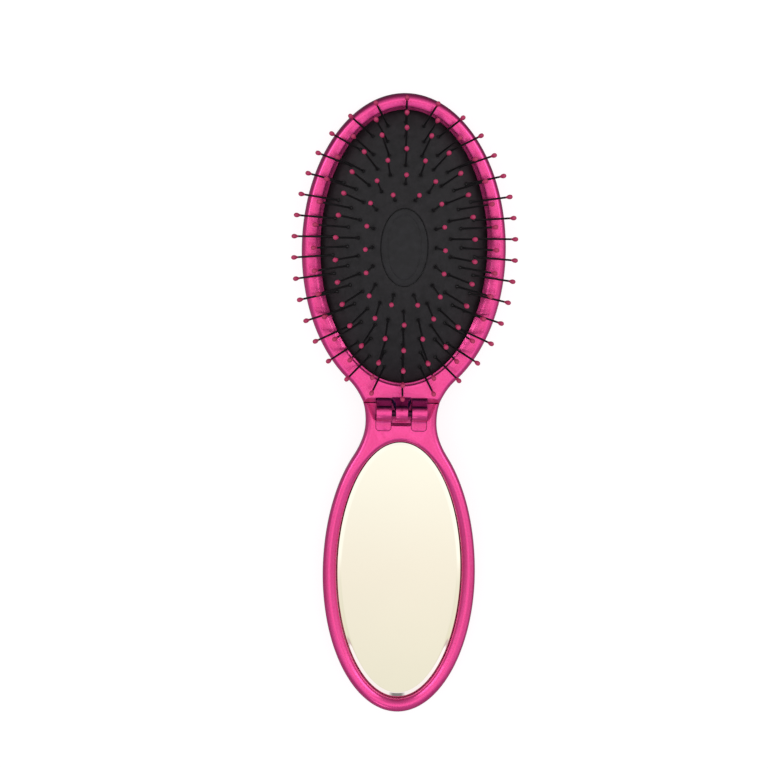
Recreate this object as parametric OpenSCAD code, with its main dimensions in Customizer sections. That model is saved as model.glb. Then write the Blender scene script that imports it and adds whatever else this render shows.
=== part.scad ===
// Folding hairbrush with a mirror in its handle.
// The open brush lies on its back: +Z up, +Y from the joint to the head's end, X across.
// The origin is on the table plane, under the joint line between head and handle.

/* [Head] */
// Reach of the head from the joint line to its far end
head_len = 96; // [93:0.1:100]
// Greatest width of the head
head_w = 63.2; // [61.5:0.1:68]
// Distance of the head's widest place from the joint line
head_wide_y = 47.4; // [46:0.1:49]
// Height of the crest of the head's rim
rim_h = 14; // [13.4:0.1:15]

/* [Handle] */
// Reach of the handle from the joint line to its far end
handle_len = 96; // [94:0.1:100]
// Greatest width of the handle
handle_w = 47.4; // [46.4:0.1:52]
// Distance of the handle's widest place from the joint line
handle_wide_y = 52.9; // [51.5:0.1:54]
// Width of the frame beside the mirror
frame_side_w = 4.2; // [4:0.1:6.5]
// Width of the frame at the mirror's far end
frame_far_w = 4.2; // [4:0.1:6.5]
// Distance of the mirror opening from the joint line
mirror_near = 12; // [11.8:0.1:14]
// Thickness of the mirror glass
mirror_t = 1.8; // [1.2:0.1:2.4]
// Depth of the mirror's flat face below the handle's front
mirror_sunk = 1.5; // [1.2:0.1:2]
// Width of the bevel around the mirror's flat face
bevel_w = 2.2; // [1:0.1:3]
// Thickness of the foam pad behind the mirror
backing_t = 1.4; // [0.8:0.1:1.4]

/* [Neck] */
// Width of the neck at the joint line
neck_w = 23.6; // [23:0.1:25]
// Width of the handle's waist
waist_w = 21.9; // [21.4:0.1:22.8]
// Distance of the waist from the joint line
waist_y = 6; // [5:0.1:7]
// Height of the neck's and handle's front face
face_h = 12; // [11.8:0.1:12.4]

/* [Shells] */
// Height of the seam between back shell and front frame
seam_h = 7; // [6.8:0.1:7.2]
// Thickness of the shell walls
wall = 1.8; // [1.4:0.1:2.2]
// Thickness of the back shells' floors
floor_t = 2; // [1.6:0.1:2.2]
// Gap at the joint line on each side
joint_gap = 0.1; // [0.05:0.01:0.2]

/* [Hinge] */
// Distance of the hinge axis behind the joint line
hinge_back = 2.6; // [2.4:0.1:2.8]
// Height of the hinge axis
hinge_h = 19.5; // [19:0.1:20.5]
// Radius of the hinge knuckles
barrel_r = 2.4; // [2.2:0.1:2.5]
// Width of the head's middle knuckle
mid_knuckle_w = 4; // [3.4:0.1:4.4]
// Width of the middle knuckle's flared foot
mid_foot_w = 5.8; // [5.2:0.1:6]
// Distance from the middle to the near side of a handle knuckle
knuckle_in = 3.2; // [3.1:0.1:3.6]
// Width of a handle knuckle
knuckle_w = 4.6; // [4.2:0.1:5]
// Length of the foot tabs behind the hinge
tab_len = 8.5; // [8:0.1:9]
// Radius of the hinge pin
pin_r = 1; // [0.8:0.1:1.2]
// Running clearance of the pin in the handle's knuckles
pin_clear = 0.05; // [0.03:0.01:0.08]
// Radius of the round recess around the knuckles
ear_r = 9.5; // [9.2:0.05:9.6]
// Depth of that recess
ear_sunk = 0.8; // [0.4:0.1:1]

/* [Cushion] */
// Width of the rim beside the cushion
rim_side_w = 5.9; // [5.5:0.1:6.4]
// Width of the rim at the cushion's far end
rim_far_w = 5.3; // [5:0.1:5.9]
// Distance of the cushion opening from the joint line
pad_near = 6.3; // [6.1:0.1:6.8]
// Height of the cushion's edge
pad_edge_h = 9.5; // [9.2:0.1:10]
// Rise of the cushion's dome
dome_h = 10; // [9:0.1:11]
// Thickness of the cushion's skin
pad_t = 1.6; // [1.2:0.1:1.8]
// Clearance between the cushion and its frame
pad_clear = 0.15; // [0.1:0.01:0.3]

/* [Press oval and button] */
// Width of the oval in the middle of the cushion
oval_w = 14.4; // [12:0.1:15]
// Length of the oval in the middle of the cushion
oval_len = 24; // [20:0.1:25]
// Gap around the oval
oval_gap = 0.15; // [0.1:0.01:0.3]
// Diameter of the button in the back
button_d = 18; // [15:0.1:19]
// Gap between button and back shell
button_gap = 0.25; // [0.15:0.01:0.4]
// Travel of the button out of the back
button_travel = 9; // [7:0.1:9]
// Diameter of the stem between button and oval
stem_d = 7.2; // [5:0.1:9]

/* [Bristles] */
// Diameter of a bristle
bristle_d = 0.6; // [0.5:0.05:0.8]
// Length of a bristle up to its tip bead
bristle_len = 14.3; // [12:0.1:16]
// Diameter of a tip bead
tip_d = 1.4; // [1.2:0.05:1.6]
// Length of a tip bead
tip_len = 2.2; // [1.8:0.1:2.6]
// Height of a bristle's foot over the cushion's skin
foot_gap = 0.15; // [0.1:0.01:0.3]
// Place of the innermost row between oval (0) and cushion edge (1), at the sides
row1_side = 0.146; // [0.13:0.001:0.16]
// Place of the innermost row between oval and cushion edge, at the ends
row1_end = 0.4404; // [0.42:0.0001:0.46]
// Place of the second row at the sides
row2_side = 0.384; // [0.37:0.001:0.4]
// Place of the second row at the ends
row2_end = 0.5993; // [0.58:0.0001:0.62]
// Place of the third row at the sides
row3_side = 0.562; // [0.55:0.001:0.58]
// Place of the third row at the ends
row3_end = 0.7384; // [0.72:0.0001:0.75]
// Place of the outermost row at the sides
row4_side = 0.7946; // [0.78:0.0001:0.81]
// Place of the outermost row at the ends
row4_end = 0.8742; // [0.86:0.0001:0.89]
// Distance of each lone bristle beyond the oval's end
lone_out = 7.7; // [7.2:0.1:8]
// Distance of the paired bristles beyond the oval's end
pair_out = 2.6; // [2.2:0.1:2.9]
// Distance of a paired bristle from the middle
pair_x = 3.1; // [2.8:0.1:3.4]

/* [Hidden] */
$fn = 64;
eps = 0.01;
hinge_y = -hinge_back;
pad_a = head_w / 2 - rim_side_w;
pad_b = (head_len - rim_far_w - pad_near) / 2;
pad_y = pad_near + pad_b;
mir_a = handle_w / 2 - frame_side_w;
mir_b = (handle_len - frame_far_w - mirror_near) / 2;
mirror_y = mirror_near + mir_b;
head_near = 2.5;
hand_near = mirror_near - 1.5;
rib_x = 0.6 * mir_a;
rib_step = 0.6 * mir_b;
rib_t = 1.6;
lip_h = 8.9;
clamp_t = 1.3;
clamp_out = 3;
pocket_out = 0.9;
flange_out = 1.6;
glass_gap = 0.15;
glass_top = face_h - mirror_sunk;
bevel_drop = 0.3;
glass_edge = glass_top - bevel_drop;
glass_low = glass_edge + bevel_drop - mirror_t;
neck_x = neck_w / 2;
knuckle_out = knuckle_in + knuckle_w;
notch_gap = 0.15;
bristle_r = bristle_d / 2;
pink = [0.86, 0.2, 0.5];
pink_dark = [0.78, 0.16, 0.44];
black = [0.06, 0.06, 0.065];
tip_pink = [0.85, 0.22, 0.45];

// ---- outlines: lists of points, from the joint's middle up the right side and back ----

function smooth(x) = let (t = min(1, max(0, x))) t * t * (3 - 2 * t);

// A quadratic curve's point.
function curve(p, q, r, t) = p * (1 - t) * (1 - t) + q * 2 * t * (1 - t) + r * t * t;

// The straight end at the joint, as fractions of its half width.
end_steps = [0, 0.4, 0.75, 0.93, 1];

function end_line(hw) = [for (k = end_steps) [hw * k, joint_gap]];

// Angle on an ellipse's near half at height y over the joint line.
function near_angle(c, b, y) = asin((y - c) / b);

function arc_points(c, a, b_near, b_far, start, n) = [
  for (k = [1:n])
    let (t = start + (90 - start) * k / n)
    [a * cos(t), c + (t < 0 ? b_near : b_far) * sin(t)]
];

// Where a line of slope m2 through p2 meets a line of slope m0 through p0, slopes as dx/dy.
function meet(p0, m0, p2, m2) =
  let (y = (p2[0] - p0[0] - m2 * p2[1] + m0 * p0[1]) / (m0 - m2))
  [p0[0] + m0 * (y - p0[1]), y];

function ellipse_slope(c, a, b, y) = let (u = (c - y) / b) a * u / (b * sqrt(1 - u * u));

head_flare_y = 7;
head_flare = [
  head_w / 2 * sqrt(1 - pow((head_wide_y - head_flare_y) / head_wide_y, 2)),
  head_flare_y
];
head_p0 = [neck_x, joint_gap];
head_p1 = meet(head_p0, 0.45, head_flare, ellipse_slope(head_wide_y, head_w / 2, head_wide_y, head_flare_y));

function head_half() = concat(
  end_line(neck_x),
  [for (k = [1:4]) curve(head_p0, head_p1, head_flare, k / 4)],
  arc_points(head_wide_y, head_w / 2, head_wide_y, head_len - head_wide_y,
    near_angle(head_wide_y, head_wide_y, head_flare_y), 30)
);

handle_b = handle_wide_y - 7;
handle_flare_y = 17;
handle_flare = [
  handle_w / 2 * sqrt(1 - pow((handle_wide_y - handle_flare_y) / handle_b, 2)),
  handle_flare_y
];
handle_p0 = [neck_x, joint_gap];
handle_waist = [waist_w / 2, waist_y];
handle_p1 = [waist_w / 2, waist_y * 0.43];
handle_p3 = meet(handle_waist, 0, handle_flare, ellipse_slope(handle_wide_y, handle_w / 2, handle_b, handle_flare_y));

function handle_half() = concat(
  end_line(neck_x),
  [for (k = [1:3]) curve(handle_p0, handle_p1, handle_waist, k / 3)],
  [for (k = [1:4]) curve(handle_waist, handle_p3, handle_flare, k / 4)],
  arc_points(handle_wide_y, handle_w / 2, handle_b, handle_len - handle_wide_y,
    near_angle(handle_wide_y, handle_b, handle_flare_y), 28)
);

function whole(h) = concat(h, [for (k = [len(h) - 2:-1:1]) [-h[k][0], h[k][1]]]);

function unit(v) = v / norm(v);

// Inward normal at each point of a loop that runs counter-clockwise, mitred at corners.
function inward(p) = [
  for (k = [0:len(p) - 1])
    let (n = len(p))
    let (a = unit(p[k] - p[(k + n - 1) % n]))
    let (b = unit(p[(k + 1) % n] - p[k]))
    let (na = [-a[1], a[0]])
    let (nb = [-b[1], b[0]])
    (na + nb) / (1 + na * nb)
];

end_n = len(end_steps) - 1;

// How far a point of a loop of n is past the straight end, counted both ways round.
function past_end(k, n) = min(k, n - k) - end_n;

// Angle on an ellipse in the direction of point p.
function toward(p, c, a, b) = atan2((p[1] - c) / b, p[0] / a);

// Points on an ellipse in the direction of each outline point, evenly spaced along the neck.
// m is the number of points from the joint's middle to the end of the neck's flare.
function inner_loop(o, c, a, b, m) = [
  for (k = [0:len(o) - 1])
    let (j = min(k, len(o) - k))
    let (t = j < m ? -90 + (toward(o[m], c, a, b) + 90) * j / m : toward(o[j], c, a, b))
    [(k > j ? -1 : 1) * a * cos(t), c + b * sin(t)]
];

// ---- skins: solids through loops of points ----

// Triangles between loops r and s of n points each, outside seen from r below s.
function band(r, s, n) = [
  for (k = [0:n - 1])
    let (q = (k + 1) % n)
    for (f = [[r * n + k, s * n + k, s * n + q], [r * n + k, s * n + q, r * n + q]]) f
];

// A closed ring through the loops, the last one joined to the first.
module ring_skin(rows) {
  n = len(rows[0]);
  m = len(rows);
  polyhedron(
    points = [for (r = rows) for (p = r) p],
    faces = [for (r = [0:m - 1]) for (f = band(r, (r + 1) % m, n)) f]
  );
}

// A solid through the loops, closed by a cap around each centre point.
module cap_skin(rows, low, high) {
  n = len(rows[0]);
  m = len(rows);
  polyhedron(
    points = concat([for (r = rows) for (p = r) p], [low, high]),
    faces = concat(
      [for (r = [0:m - 2]) for (f = band(r, r + 1, n)) f],
      [for (k = [0:n - 1]) [n * m, k, (k + 1) % n]],
      [for (k = [0:n - 1]) [n * m + 1, (m - 1) * n + (k + 1) % n, (m - 1) * n + k]]
    )
  );
}

// A loop set in by d at height z, with other values e and y for the joint's straight end.
// w is the neck's share at each point, where z gives way to v.
function set_in(o, nrm, w, d, z, v, e, y) = [
  for (k = [0:len(o) - 1])
    let (q = past_end(k, len(o)))
    let (p = q > 0 ? o[k] + nrm[k] * d : [o[k][0] * (1 - d / neck_x), 0])
    let (low = joint_gap + e + 0.1 * min(8, max(0, q)))
    [p[0], max(p[1], low), q < 0 ? y : z * (1 - w[k]) + v * w[k]]
];

// A loop on an oval whose far and near ends lie at given distances from the joint.
function oval_loop_at(o, m, a, near, far, z) = [
  for (p = inner_loop(o, (near + far) / 2, a, (far - near) / 2, m)) [p[0], p[1], z]
];

// A loop set out by d from an inner opening at height z, with v at the neck.
function set_out(i, nrm, w, d, z, v) = [
  for (k = [0:len(i) - 1])
    let (p = i[k] - nrm[k] * d)
    [p[0], p[1], z * (1 - w[k]) + v * w[k]]
];

// ---- the two outlines with their inner openings ----

head_m = end_n + 4;
head_o = whole(head_half());
head_n = inward(head_o);
head_wt = [for (p = head_o) 1 - smooth((p[1] - 3) / 15)];
pad_i = inner_loop(head_o, pad_y, pad_a, pad_b, head_m);
pad_n = inward(pad_i);

hand_m = end_n + 7;
hand_o = whole(handle_half());
hand_n = inward(hand_o);
hand_wt = [for (p = hand_o) 1];
mir_i = inner_loop(hand_o, mirror_y, mir_a, mir_b, hand_m);
mir_n = inward(mir_i);

// A back shell: a tray with a rounded lower edge and an oval hollow with a shelf.
module back_tray(o, nrm, m, a, near, far, shelf) {
  w = [for (p = o) 0];
  cap_skin([
    set_in(o, nrm, w, 3.4, 0, 0, 2.4, 0),
    set_in(o, nrm, w, 2.2, 0.3, 0.3, 1.4, 0.15),
    set_in(o, nrm, w, 1.2, 1, 1, 0.7, 0.5),
    set_in(o, nrm, w, 0.5, 2.1, 2.1, 0.2, 1.1),
    set_in(o, nrm, w, 0.12, 3.6, 3.6, 0, 2),
    set_in(o, nrm, w, 0, 5.2, 5.2, 0, 4),
    set_in(o, nrm, w, 0, seam_h - 0.3, seam_h - 0.3, 0, seam_h - 0.3),
    set_in(o, nrm, w, 0.3, seam_h, seam_h, 0.1, seam_h),
    oval_loop_at(o, m, a, near, far, seam_h),
    oval_loop_at(o, m, a, near, far, seam_h - clamp_t),
    oval_loop_at(o, m, a - shelf, near + shelf, far - shelf, seam_h - clamp_t),
    oval_loop_at(o, m, a - shelf, near + shelf, far - shelf, floor_t + 1.2),
    oval_loop_at(o, m, a - shelf - 1, near + shelf + 1, far - shelf - 1, floor_t)
  ], [0, (near + far) / 2, 0], [0, (near + far) / 2, floor_t]);
}

// ---- hinge ----

// The point where a line from p touches the barrel, on side s.
function touch(p, s) =
  let (c = [hinge_y, hinge_h])
  let (v = p - c)
  let (t = atan2(v[1], v[0]) + s * acos(barrel_r / norm(v)))
  c + barrel_r * [cos(t), sin(t)];

// Extrudes a Y-Z outline along X from x0 to x1.
module along_x(x0, x1) {
  translate([x0, 0, 0])
    rotate([90, 0, 90])
      linear_extrude(height = x1 - x0)
        children();
}

// Plan of a foot tab, rounded at its far end, grown by g.
module tab_plan(g) {
  x0 = knuckle_in - g;
  x1 = knuckle_out + g;
  r = 1 + g;
  translate([x0, -tab_len + 1])
    square([x1 - x0, tab_len + 2 + g]);
  translate([x0 + r, -tab_len - g])
    square([x1 - x0 - 2 * r, 2 + g]);
  translate([x0 + r, -tab_len + 1])
    circle(r = r);
  translate([x1 - r, -tab_len + 1])
    circle(r = r);
}

arm_front = [1.35, face_h];
arm_top = touch(arm_front, 1);
foot_low = 9.6;
notch_low = 8.7;

// The handle's knuckle arm on the right, in the table frame.
module arm() {
  intersection() {
    union() {
      along_x(knuckle_in, knuckle_out)
        polygon([
          [-tab_len, floor_t - 0.5], [-tab_len, face_h], [hinge_y - barrel_r - 0.4, face_h],
          [hinge_y - barrel_r, face_h + 0.6], [hinge_y - barrel_r, hinge_h],
          arm_top, arm_front, [arm_front[0], foot_low], [-joint_gap, foot_low],
          [-joint_gap, floor_t - 0.5]
        ]);
      along_x(knuckle_in, knuckle_out)
        translate([hinge_y, hinge_h])
          circle(r = barrel_r);
    }
    linear_extrude(height = hinge_h + barrel_r + 1)
      tab_plan(0);
  }
}

post_front = [1.9, face_h];
post_back = [joint_gap, face_h + 0.2];
post_deep = pad_y - pad_b - clamp_out - 0.2;

// The head's middle knuckle with its foot.
module post() {
  intersection() {
    union() {
      along_x(-mid_foot_w / 2, mid_foot_w / 2)
        polygon([
          [joint_gap, floor_t - 0.5], post_back, touch(post_back, -1), [hinge_y, hinge_h],
          touch(post_front, 1), post_front, [post_deep, face_h], [post_deep, floor_t - 0.5]
        ]);
      along_x(-mid_knuckle_w / 2, mid_knuckle_w / 2)
        translate([hinge_y, hinge_h])
          circle(r = barrel_r);
    }
    translate([0, 20, 0])
      rotate([90, 0, 0])
        linear_extrude(height = 40)
          polygon([
            [-mid_foot_w / 2, 0], [mid_foot_w / 2, 0], [mid_foot_w / 2, face_h + 0.8],
            [mid_knuckle_w / 2 + 0.3, face_h + 2.2], [mid_knuckle_w / 2, face_h + 4],
            [mid_knuckle_w / 2, 30], [-mid_knuckle_w / 2, 30], [-mid_knuckle_w / 2, face_h + 4],
            [-mid_knuckle_w / 2 - 0.3, face_h + 2.2], [-mid_foot_w / 2, face_h + 0.8]
          ]);
  }
}

module pin_hole(r) {
  translate([-20, hinge_y, hinge_h])
    rotate([0, 90, 0])
      cylinder(r = r, h = 40);
}

// ---- head ----

button_r = button_d / 2;

module head_back_shell() {
  color(pink_dark)
    difference() {
      union() {
        back_tray(head_o, head_n, head_m, head_w / 2 - wall, head_near, head_len - wall, wall);
        post();
      }
      translate([0, pad_y, -1])
        cylinder(r = button_r + button_gap, h = floor_t + 2);
      pin_hole(pin_r);
    }
}

module head_front_ring() {
  color(pink)
    difference() {
      ring_skin([
        set_in(head_o, head_n, head_wt, 0.3, seam_h, seam_h, 0.1, seam_h),
        set_in(head_o, head_n, head_wt, 0, seam_h + 0.3, seam_h + 0.3, 0, seam_h + 0.3),
        set_in(head_o, head_n, head_wt, 0, 10.2, 9.2, 0, 9.2),
        set_in(head_o, head_n, head_wt, 0.2, rim_h - 2.4, 10.2, 0, 10.4),
        set_in(head_o, head_n, head_wt, 0.6, rim_h - 1.3, 11.1, 0.5, 10.9),
        set_in(head_o, head_n, head_wt, 1.2, rim_h - 0.45, 11.7, 1, 11.45),
        set_in(head_o, head_n, head_wt, 2, rim_h, face_h, 1.55, face_h),
        set_in(head_o, head_n, head_wt, 2.9, rim_h - 0.15, face_h, 2.4, face_h),
        set_in(head_o, head_n, head_wt, 3.9, rim_h - 0.75, face_h, 3.4, face_h),
        set_out(pad_i, pad_n, head_wt, 0.7, rim_h - 1.6, face_h),
        set_out(pad_i, pad_n, head_wt, 0.15, rim_h - 2, face_h - 0.15),
        set_out(pad_i, pad_n, head_wt, 0, rim_h - 2.4, face_h - 0.5),
        set_out(pad_i, pad_n, head_wt, 0, lip_h, lip_h),
        set_out(pad_i, pad_n, head_wt, flange_out, lip_h, lip_h),
        set_out(pad_i, pad_n, head_wt, flange_out, seam_h, seam_h)
      ]);
      translate([-mid_foot_w / 2 - notch_gap, -1, seam_h - 1])
        cube([mid_foot_w + 2 * notch_gap, post_deep + notch_gap + 1, 10]);
      translate([-knuckle_out - notch_gap, -1, notch_low])
        cube([2 * (knuckle_out + notch_gap), 1 + arm_front[0] + 0.3, 10]);
    }
}

function pad_loop(g, n, z) = [for (k = [0:n - 1])
  let (t = -90 + 360 * k / n) [(pad_a + g) * cos(t), pad_y + (pad_b + g) * sin(t), z]];

module pad_clamp_ring() {
  color(black)
    ring_skin([
      pad_loop(clamp_out, 72, seam_h - clamp_t),
      pad_loop(clamp_out, 72, seam_h),
      pad_loop(-1.5, 72, seam_h),
      pad_loop(-1.5, 72, seam_h - clamp_t)
    ]);
}

// Height of the cushion's surface over a point given from its centre.
function dome(x, y) =
  let (q = min(1, sqrt(pow(x / pad_a, 2) + pow(y / pad_b, 2))))
  pad_edge_h + dome_h * (1 - pow(q, 3));

oval_a = oval_w / 2;
oval_b = oval_len / 2;

// A cushion loop, from the edge at s = 0 to the oval at s = 1, dz over the dome.
function dome_loop(s, n, dz) = [for (k = [0:n - 1])
  let (t = -90 + 360 * k / n)
  let (a = (pad_a - pad_clear) * (1 - s) + (oval_a + oval_gap) * s)
  let (b = (pad_b - pad_clear) * (1 - s) + (oval_b + oval_gap) * s)
  [a * cos(t), pad_y + b * sin(t), dome(a * cos(t), b * sin(t)) + dz]];

module pad_cushion() {
  color(black)
    ring_skin(concat(
      [
        pad_loop(flange_out - pad_clear, 72, seam_h),
        pad_loop(flange_out - pad_clear, 72, lip_h),
        pad_loop(-pad_clear, 72, lip_h)
      ],
      [for (s = [0:8]) dome_loop(s / 8, 72, 0)],
      [for (s = [8:-1:1]) dome_loop(s / 8, 72, -pad_t)],
      [pad_loop(-pad_clear - pad_t, 72, seam_h)]
    ));
}

module hinge_pin() {
  color([0.75, 0.75, 0.78])
    translate([-knuckle_out + 0.1, hinge_y, hinge_h])
      rotate([0, 90, 0])
        cylinder(r = pin_r, h = 2 * knuckle_out - 0.2);
}

// ---- handle, drawn towards +Y and turned over to -Y ----

module handle_back_shell() {
  rib_z = glass_low - backing_t;
  color(pink_dark)
    difference() {
      union() {
        mirror([0, 1, 0])
          back_tray(hand_o, hand_n, hand_m, handle_w / 2 - wall, hand_near, handle_len - wall, wall / 3);
        for (k = [-1, 0, 1])
          translate([-rib_x, -mirror_y + k * rib_step - rib_t / 2, floor_t - 0.5])
            cube([2 * rib_x, rib_t, rib_z - floor_t + 0.5]);
        arm();
        mirror([1, 0, 0])
          arm();
      }
      pin_hole(pin_r + pin_clear);
    }
}

module handle_front_frame() {
  color(pink)
    difference() {
      mirror([0, 1, 0])
        ring_skin([
          set_in(hand_o, hand_n, hand_wt, 0.3, seam_h, seam_h, 0.1, seam_h),
          set_in(hand_o, hand_n, hand_wt, 0, seam_h + 0.3, seam_h + 0.3, 0, seam_h + 0.3),
          set_in(hand_o, hand_n, hand_wt, 0, 9.2, 9.2, 0, 9.2),
          set_in(hand_o, hand_n, hand_wt, 0.25, face_h - 1.65, face_h - 1.65, 0, face_h - 1.2),
          set_in(hand_o, hand_n, hand_wt, 0.7, face_h - 0.75, face_h - 0.75, 0.03, face_h - 0.4),
          set_in(hand_o, hand_n, hand_wt, 1.3, face_h - 0.2, face_h - 0.2, 0.2, face_h - 0.02),
          set_in(hand_o, hand_n, hand_wt, 1.9, face_h, face_h, 1, face_h),
          set_out(mir_i, mir_n, hand_wt, 1.3, face_h - 0.08, face_h - 0.08),
          set_out(mir_i, mir_n, hand_wt, 0.85, face_h - 0.42, face_h - 0.42),
          set_out(mir_i, mir_n, hand_wt, 0.35, face_h - 1.1, face_h - 1.1),
          set_out(mir_i, mir_n, hand_wt, 0, glass_top, glass_top),
          set_out(mir_i, mir_n, hand_wt, 0, glass_edge, glass_edge),
          set_out(mir_i, mir_n, hand_wt, pocket_out, glass_edge, glass_edge),
          set_out(mir_i, mir_n, hand_wt, pocket_out, seam_h, seam_h)
        ]);
      for (m = [0, 1])
        mirror([m, 0, 0])
          translate([0, 0, seam_h - 1])
            linear_extrude(height = 10)
              tab_plan(notch_gap);
      translate([0, 0.5, face_h - ear_sunk])
        cylinder(r = ear_r, h = 5);
    }
}

// A loop around the mirror opening, g larger.
function mirror_loop(g, n, z) = [for (k = [0:n - 1])
  let (t = -90 + 360 * k / n) [(mir_a + g) * cos(t), (mir_b + g) * sin(t) - mirror_y, z]];

module mirror_glass() {
  g = pocket_out - glass_gap;
  color([0.9, 0.9, 0.86])
    cap_skin([
      mirror_loop(g, 80, glass_low),
      mirror_loop(g, 80, glass_edge),
      mirror_loop(-0.2, 80, glass_edge),
      mirror_loop(-0.2 - bevel_w, 80, glass_top)
    ], [0, -mirror_y, glass_low], [0, -mirror_y, glass_top]);
}

module mirror_backing() {
  g = pocket_out - glass_gap - 0.5;
  color([0.3, 0.3, 0.32])
    cap_skin([
      mirror_loop(g, 60, glass_low - backing_t),
      mirror_loop(g, 60, glass_low)
    ], [0, -mirror_y, glass_low - backing_t], [0, -mirror_y, glass_low]);
}

// ---- press oval and button ----

oval_low = dome(oval_a, 0) - pad_t;

function oval_loop(g, n, z) = [for (k = [0:n - 1])
  let (t = -90 + 360 * k / n) [(oval_a + g) * cos(t), pad_y + (oval_b + g) * sin(t), z]];

module press_oval() {
  top = dome(oval_a, 0);
  color([0.07, 0.07, 0.075])
    cap_skin([
      oval_loop(0, 56, oval_low),
      oval_loop(0, 56, top - 0.15),
      oval_loop(-0.15, 56, top),
      oval_loop(-1.6, 56, top + 0.1),
      oval_loop(-1.8, 56, top - 0.02),
      oval_loop(-2, 56, top - 0.02),
      oval_loop(-2.2, 56, top + 0.12),
      oval_loop(-4.5, 56, top + 0.18)
    ], [0, pad_y, oval_low], [0, pad_y, top + 0.2]);
}

module pop_button() {
  rest_z = floor_t + button_travel + 0.05;
  top = rest_z + 1.2;
  dish = 70;
  color(pink)
    translate([0, pad_y, 0]) {
      difference() {
        union() {
          cylinder(r1 = button_r - 0.4, r2 = button_r, h = 0.4);
          translate([0, 0, 0.4])
            cylinder(r = button_r, h = top - 0.4);
          translate([0, 0, rest_z])
            cylinder(r = button_r + 0.9, h = 1.2);
        }
        translate([0, 0, floor_t])
          cylinder(r = button_r - 1.5, h = 20);
        translate([0, 0, 0.35 - dish])
          sphere(r = dish);
      }
      translate([0, 0, floor_t - 0.5])
        cylinder(r = stem_d / 2, h = oval_low - floor_t + 0.5);
    }
}

// ---- bristles ----

// Rows: half width, half length, number, splay at the sides, splay at the ends.
rows = [
  [row_x(row1_side), row_y(row1_end), 20, 8.6, 21],
  [row_x(row2_side), row_y(row2_end), 26, 27.1, 27.5],
  [row_x(row3_side), row_y(row3_end), 28, 41.7, 28.9],
  [row_x(row4_side), row_y(row4_end), 34, 50.5, 30]
];
function row_x(k) = oval_a * (1 - k) + pad_a * k;
function row_y(k) = oval_b * (1 - k) + pad_b * k;
lone_y = oval_b + lone_out;
pair_y = oval_b + pair_out;

// Angles that share out an ellipse's length evenly, starting at its long axis.
arc_steps = 180;
function arc_piece(a, b, k) =
  let (t = 90 + 360 * k / arc_steps)
  let (u = 90 + 360 * (k + 1) / arc_steps)
  norm([a * (cos(u) - cos(t)), b * (sin(u) - sin(t))]);
function arc_sum(a, b, k, s) = k == arc_steps ? [[s, 90 + 360]] :
  concat([[s, 90 + 360 * k / arc_steps]], arc_sum(a, b, k + 1, s + arc_piece(a, b, k)));
function even_angles(a, b, n) =
  let (t = arc_sum(a, b, 0, 0))
  let (all = t[arc_steps][0])
  [for (k = [0:n - 1]) lookup(all * k / n, t)];

// Feet of a row: x, y, lean in x, lean in y, angle. Leans are slopes off the vertical.
function row_feet(r) = [
  for (t = even_angles(r[0], r[1], r[2]))
    [r[0] * cos(t), r[1] * sin(t), tan(r[3]) * cos(t), tan(r[4]) * sin(t), t % 360]
];

feet_1 = row_feet(rows[0]);
feet_2 = row_feet(rows[1]);
feet_3 = row_feet(rows[2]);
feet_4 = row_feet(rows[3]);
feet_mid = [
  for (s = [1, -1])
    for (x = [-1, 0, 1])
      x == 0 ? [0, s * lone_y, 0, s * tan(12.1), 0] : [x * pair_x, s * pair_y, x * tan(3.4), s * tan(8.1), 0]
];

// The sector of g sectors that an angle falls in, counted from 1 on the +X side.
function sector(t, g) = floor(((t + 180 / g) % 360) * g / 360) + 1;

function pick(feet, g, k) = [for (f = feet) if (sector(f[4], g) == k) f];

module lean(f) {
  z = dome(f[0], f[1]) + foot_gap;
  translate([f[0], pad_y + f[1], z])
    rotate([0, atan(norm([f[2], f[3]])), atan2(f[3], f[2])])
      children();
}

// Bristles start a little up their own axis, so that a leaning foot clears the skin.
module bristles(feet) {
  for (f = feet)
    lean(f)
      translate([0, 0, foot_up(f)])
        cylinder(r = bristle_r, h = bristle_len - foot_up(f));
}

function foot_up(f) = bristle_r * 1.1 * norm([f[2], f[3]]);

module tips(feet) {
  r = tip_d / 2;
  for (f = feet)
    lean(f)
      translate([0, 0, bristle_len])
        rotate_extrude()
          polygon([
            [0, 0], [bristle_r + 0.02, 0], [r * 0.62, tip_len * 0.17], [r * 0.92, tip_len * 0.4],
            [r, tip_len * 0.58], [r * 0.92, tip_len * 0.77], [r * 0.62, tip_len * 0.93], [0, tip_len]
          ]);
}

module bristles_center() {
  color(black)
    bristles(concat(feet_mid, feet_1));
}

module tips_center() {
  color(tip_pink)
    tips(concat(feet_mid, feet_1));
}

module bristles_mid(k) {
  color(black)
    bristles(pick(feet_2, 8, k));
}

module tips_mid(k) {
  color(tip_pink)
    tips(pick(feet_2, 8, k));
}

module bristles_outer(k) {
  color(black)
    bristles(pick(concat(feet_3, feet_4), 12, k));
}

module tips_outer(k) {
  color(tip_pink)
    tips(pick(concat(feet_3, feet_4), 12, k));
}

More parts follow.
